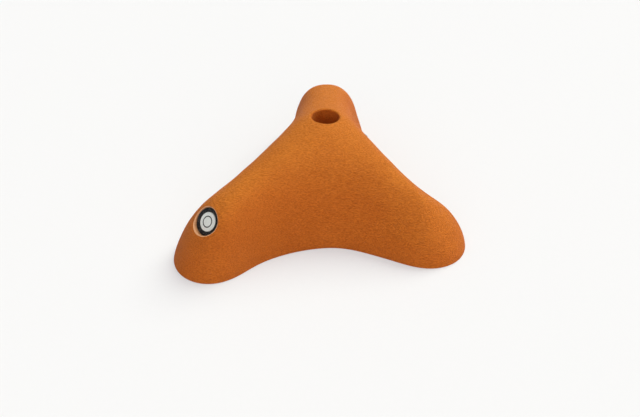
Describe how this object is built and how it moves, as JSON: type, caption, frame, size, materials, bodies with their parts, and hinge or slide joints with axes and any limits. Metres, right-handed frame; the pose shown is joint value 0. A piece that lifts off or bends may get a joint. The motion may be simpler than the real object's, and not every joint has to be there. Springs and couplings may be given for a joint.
{
  "type": "climbing hold",
  "caption": "Three-armed bolt-on climbing hold, cast with a hollow ribbed back, with its bolt, washer, anti-turn screw and round badge.",
  "frame": {"origin": "middle of the casting's box in plan, on the plane of the flat back", "axes": "+Z out of the wall along the bolt, +X to the right and along the longest extent, +Y along the arm that points away from the viewer"},
  "size_m": [0.1876, 0.1736, 0.0667],
  "materials": {
    "cast_orange": "matte cast polyurethane with a fine grip grain",
    "zinc_steel": "zinc-plated steel",
    "badge_black": "satin black plastic",
    "badge_white": "satin white plastic"
  },
  "bodies": {
    "hold": {"hold_body": "cast_orange", "bolt_washer": "zinc_steel", "badge_carrier": "badge_black", "badge_inlay": "badge_white"},
    "bolt": {"mounting_bolt": "zinc_steel"},
    "screw": {"anti_turn_screw": "zinc_steel"}
  },
  "joints": [
    {"name": "bolt_slide", "type": "slide", "parent": "hold", "child": "bolt", "axis": [0, 0, 1], "range_m": [-0.018, 0.07]},
    {"name": "screw_slide", "type": "slide", "parent": "hold", "child": "screw", "axis": [0, 0, 1], "range_m": [-0.026, 0.07]}
  ]
}
